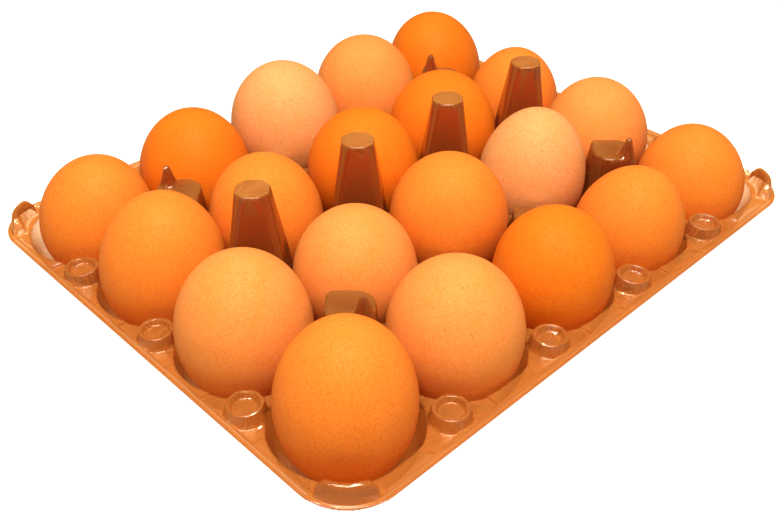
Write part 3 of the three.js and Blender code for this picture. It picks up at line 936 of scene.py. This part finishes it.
def egg_form(node):
    """Radius, half length, point, lean and place of the frame's egg, from the ring of corners that
    its own solid has: the long axis is where the corners spread most."""
    corners = np.unique(corners_of(frame["nodes"][node].data).round(7), axis=0)
    spread = np.linalg.eigh(np.cov((corners - corners.mean(0)).T))[1][:, 2]
    up = spread * np.sign(spread[2])
    along = corners @ up
    top, bottom = corners[along.argmax()], corners[along.argmin()]
    centre = (top + bottom) / 2
    half_length = np.linalg.norm(top - bottom) / 2
    up = (top - bottom) / (2 * half_length)
    rings = (corners - centre) @ up / half_length
    off_the_poles = np.abs(rings) < 0.95
    out = np.linalg.norm((corners - centre) - np.outer((corners - centre) @ up, up), axis=1)
    rings, out = rings[off_the_poles], out[off_the_poles]
    slope, radius = np.polyfit(rings, out / np.sqrt(1 - rings**2), 1)
    turn = Vector((0, 0, 1)).rotation_difference(Vector(up)).to_euler()
    return radius, half_length, -slope / radius, turn, Vector(centre)


class EGGTRAY_OT_stand_eggs(Operator):
    """Stand an egg in each cup, with its own size, lean and shell"""

    bl_idname = "egg_tray.stand_eggs"
    bl_label = "Stand the eggs in the cups"

    def execute(self, context):
        shells = context.scene.egg_tray_shells
        tree = egg_tree()
        keys = {item.name: item.identifier for item in tree.interface.items_tree if item.in_out == "INPUT"}
        finishes = {}
        rows = [row for row in frame["record"]["subparts"] if row["node"].startswith("egg_")]
        for seed, row in enumerate(sorted(rows, key=lambda entry: entry["node"])):
            slot = row["material_slot"]
            tone = slot.split("_")[1]
            if tone not in finishes:
                finishes[tone] = eggshell(tone, tuple(getattr(shells, tone)), shells)
            radius, half_length, point, turn, place = egg_form(row["node"])
            cup_name = row["node"].split("_")[1]
            holder = bpy.data.objects.new("holder", bpy.data.meshes.new("holder"))
            context.scene.collection.objects.link(holder)
            growth = holder.modifiers.new("egg", "NODES")
            growth.node_group = tree
            growth[keys["Radius"]] = float(radius)
            growth[keys["Half length"]] = float(half_length)
            growth[keys["Point"]] = float(point)
            growth[keys["Lean"]] = turn
            growth[keys["Place"]] = place
            growth[keys["Unevenness"]] = shells.unevenness
            growth[keys["Speckling"]] = SPECKLES.get(cup_name, FEW_SPECKLES)
            growth[keys["Seed"]] = SEED_STEP * seed
            growth[keys["Shell"]] = finishes[tone]
            context.view_layer.update()
            ready = holder.evaluated_get(context.evaluated_depsgraph_get())
            egg = bpy.data.objects.new(f"hen_egg_{cup_name}", bpy.data.meshes.new_from_object(ready))
            bpy.data.objects.remove(holder)
            context.scene.collection.objects.link(egg)
            finish_piece(egg, row["node"])
        return {"FINISHED"}


def area_light(name, place, size, power):
    light = bpy.data.lights.new(name, "AREA")
    light.shape = "DISK"
    light.size = size
    light.energy = power
    lamp = bpy.data.objects.new(name, light)
    lamp.location = place
    lamp.rotation_euler = (Vector(LIT_POINT) - Vector(place)).to_track_quat("-Z", "Y").to_euler()
    bpy.context.scene.collection.objects.link(lamp)
    return lamp


class EGGTRAY_OT_set_stage(Operator):
    """Lay the floor and set the lights, the surroundings and the camera"""

    bl_idname = "egg_tray.set_stage"
    bl_label = "Set the stage"

    def execute(self, context):
        stage = context.scene.egg_tray_stage
        self.lay_floor(context, stage)
        area_light("soft_overhead", SOFT_PLACE, SOFT_SIZE, stage.soft_light)
        self.hang_glints(context, stage)
        self.surround(context, stage)
        context.scene.view_settings.view_transform = "Standard"
        context.scene.cycles.transparent_max_bounces = SHEETS_SEEN_THROUGH
        self.place_camera(context, stage)
        return {"FINISHED"}

    def hang_glints(self, context, stage):
        """Small lights that only the tray's gloss shows, as white glints on its bends."""
        shiny = bpy.data.collections.new("shiny")
        tray = bpy.data.objects.get("clear_tray")
        if tray:
            shiny.objects.link(tray)
        for name, place in GLINT_PLACES.items():
            lamp = area_light(name, place, GLINT_SIZE, stage.glint_light)
            lamp.visible_diffuse = False
            lamp.visible_transmission = False
            lamp.light_linking.receiver_collection = shiny

    def surround(self, context, stage):
        """Surroundings that are white to the camera, dim in the soft light that they give, and a warm
        room in what mirrors them."""
        world = bpy.data.worlds.new("pale room")
        world.use_nodes = True
        world.node_tree.nodes.clear()
        tree = world.node_tree
        ray = add(tree, "ShaderNodeLightPath").outputs
        sky = (stage.sky, stage.sky, stage.sky, 1)
        soft = {0: ray["Is Glossy Ray"], 6: sky, 7: (*stage.mirrored, 1)}
        soft = add(tree, "ShaderNodeMix", soft, data_type="RGBA").outputs[2]
        seen = {0: ray["Is Camera Ray"], 6: soft, 7: (1, 1, 1, 1)}
        seen = add(tree, "ShaderNodeMix", seen, data_type="RGBA").outputs[2]
        glow = add(tree, "ShaderNodeBackground", {"Color": seen, "Strength": 1.0})
        add(tree, "ShaderNodeOutputWorld", {"Surface": glow.outputs[0]})
        context.scene.world = world

    def lay_floor(self, context, stage):
        turns = ((-1, -1), (1, -1), (1, 1), (-1, 1))
        corners = [(FLOOR_HALF * across, FLOOR_HALF * along, 0) for across, along in turns]
        board = bpy.data.meshes.new("floor")
        board.from_pydata(corners, [], [(0, 1, 2, 3)])
        board.materials.append(matt_floor(stage))
        floor = bpy.data.objects.new("floor", board)
        context.scene.collection.objects.link(floor)

    def place_camera(self, context, stage):
        turn, rise = stage.azimuth, stage.elevation
        back = Vector(
            (math.sin(turn) * math.cos(rise), -math.cos(turn) * math.cos(rise), math.sin(rise))
        )
        right = Vector((math.cos(turn), math.sin(turn), 0))
        up = back.cross(right)
        facing = Matrix((right, up, back)).transposed() @ Matrix.Rotation(stage.roll, 3, "Z")
        lens = bpy.data.cameras.new("camera")
        lens.lens = stage.lens
        lens.sensor_width = 36
        lens.clip_start = 0.01
        camera = bpy.data.objects.new("camera", lens)
        camera.matrix_world = Matrix.Translation(stage.camera_place) @ facing.to_4x4()
        context.scene.collection.objects.link(camera)
        context.scene.camera = camera


class EGGTRAY_PT_panel(Panel):
    """Buttons and settings for the egg tray"""

    bl_idname = "EGGTRAY_PT_panel"
    bl_label = "Egg tray"
    bl_space_type = "VIEW_3D"
    bl_region_type = "UI"
    bl_category = "Egg tray"

    def draw(self, context):
        scene = context.scene
        steps = (
            (EGGTRAY_OT_form_sheet, scene.egg_tray_sheet),
            (EGGTRAY_OT_stand_eggs, scene.egg_tray_shells),
            (EGGTRAY_OT_set_stage, scene.egg_tray_stage),
        )
        for operator, settings in steps:
            box = self.layout.box()
            box.operator(operator.bl_idname)
            for key in settings.__annotations__:
                box.prop(settings, key)


CLASSES = (
    EggTraySheet,
    EggTrayShells,
    EggTrayStage,
    EGGTRAY_OT_form_sheet,
    EGGTRAY_OT_stand_eggs,
    EGGTRAY_OT_set_stage,
    EGGTRAY_PT_panel,
)


def register():
    for kind in CLASSES:
        bpy.utils.register_class(kind)
    bpy.types.Scene.egg_tray_sheet = PointerProperty(type=EggTraySheet)
    bpy.types.Scene.egg_tray_shells = PointerProperty(type=EggTrayShells)
    bpy.types.Scene.egg_tray_stage = PointerProperty(type=EggTrayStage)


def unregister():
    del bpy.types.Scene.egg_tray_stage
    del bpy.types.Scene.egg_tray_shells
    del bpy.types.Scene.egg_tray_sheet
    for kind in reversed(CLASSES):
        bpy.utils.unregister_class(kind)


def main():
    register()
    bpy.ops.egg_tray.form_sheet()
    bpy.ops.egg_tray.stand_eggs()
    bpy.ops.egg_tray.set_stage()


if __name__ == "__main__":
    main()
